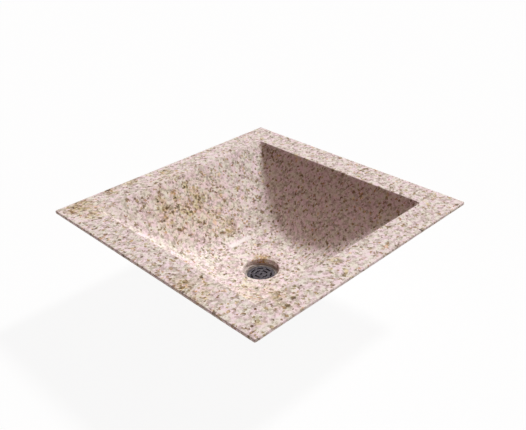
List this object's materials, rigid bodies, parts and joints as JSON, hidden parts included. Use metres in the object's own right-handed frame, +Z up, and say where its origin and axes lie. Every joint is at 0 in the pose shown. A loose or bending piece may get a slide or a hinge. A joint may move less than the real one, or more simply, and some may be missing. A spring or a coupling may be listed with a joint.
{
  "type": "water basin",
  "caption": "Square granite water basin with a flat rim, a sloping bowl and a lift-out strainer over its drain fitting.",
  "frame": {"origin": "middle of the underside of the foot", "axes": "+Z up along the drain's axis; the four sides of the square rim face +X, -X, +Y and -Y"},
  "size_m": [0.4, 0.4, 0.1618],
  "materials": {
    "granite": "honed rim, finely pecked sides",
    "strainer_metal": "dull, tarnished",
    "drain_metal": "nickel-plated, dulled",
    "nut_brass": "turned",
    "union_chrome": "polished",
    "gasket_rubber": "matt",
    "sealant": "satin",
    "washer_plastic": "matt"
  },
  "bodies": {
    "basin": {"basin_stone": "granite", "drain_body": "drain_metal", "flange_gasket": "gasket_rubber", "sealant_bead": "sealant", "back_gasket": "gasket_rubber", "slip_washer": "washer_plastic", "lock_nut": "nut_brass", "union_nut": "union_chrome", "slip_ring": "washer_plastic", "taper_packing": "gasket_rubber"},
    "strainer": {"strainer_plate": "strainer_metal"}
  },
  "joints": [
    {"name": "strainer_lift", "type": "slide", "parent": "basin", "child": "strainer", "axis": [0, 0, 1], "range_m": [0, 0.13]}
  ]
}
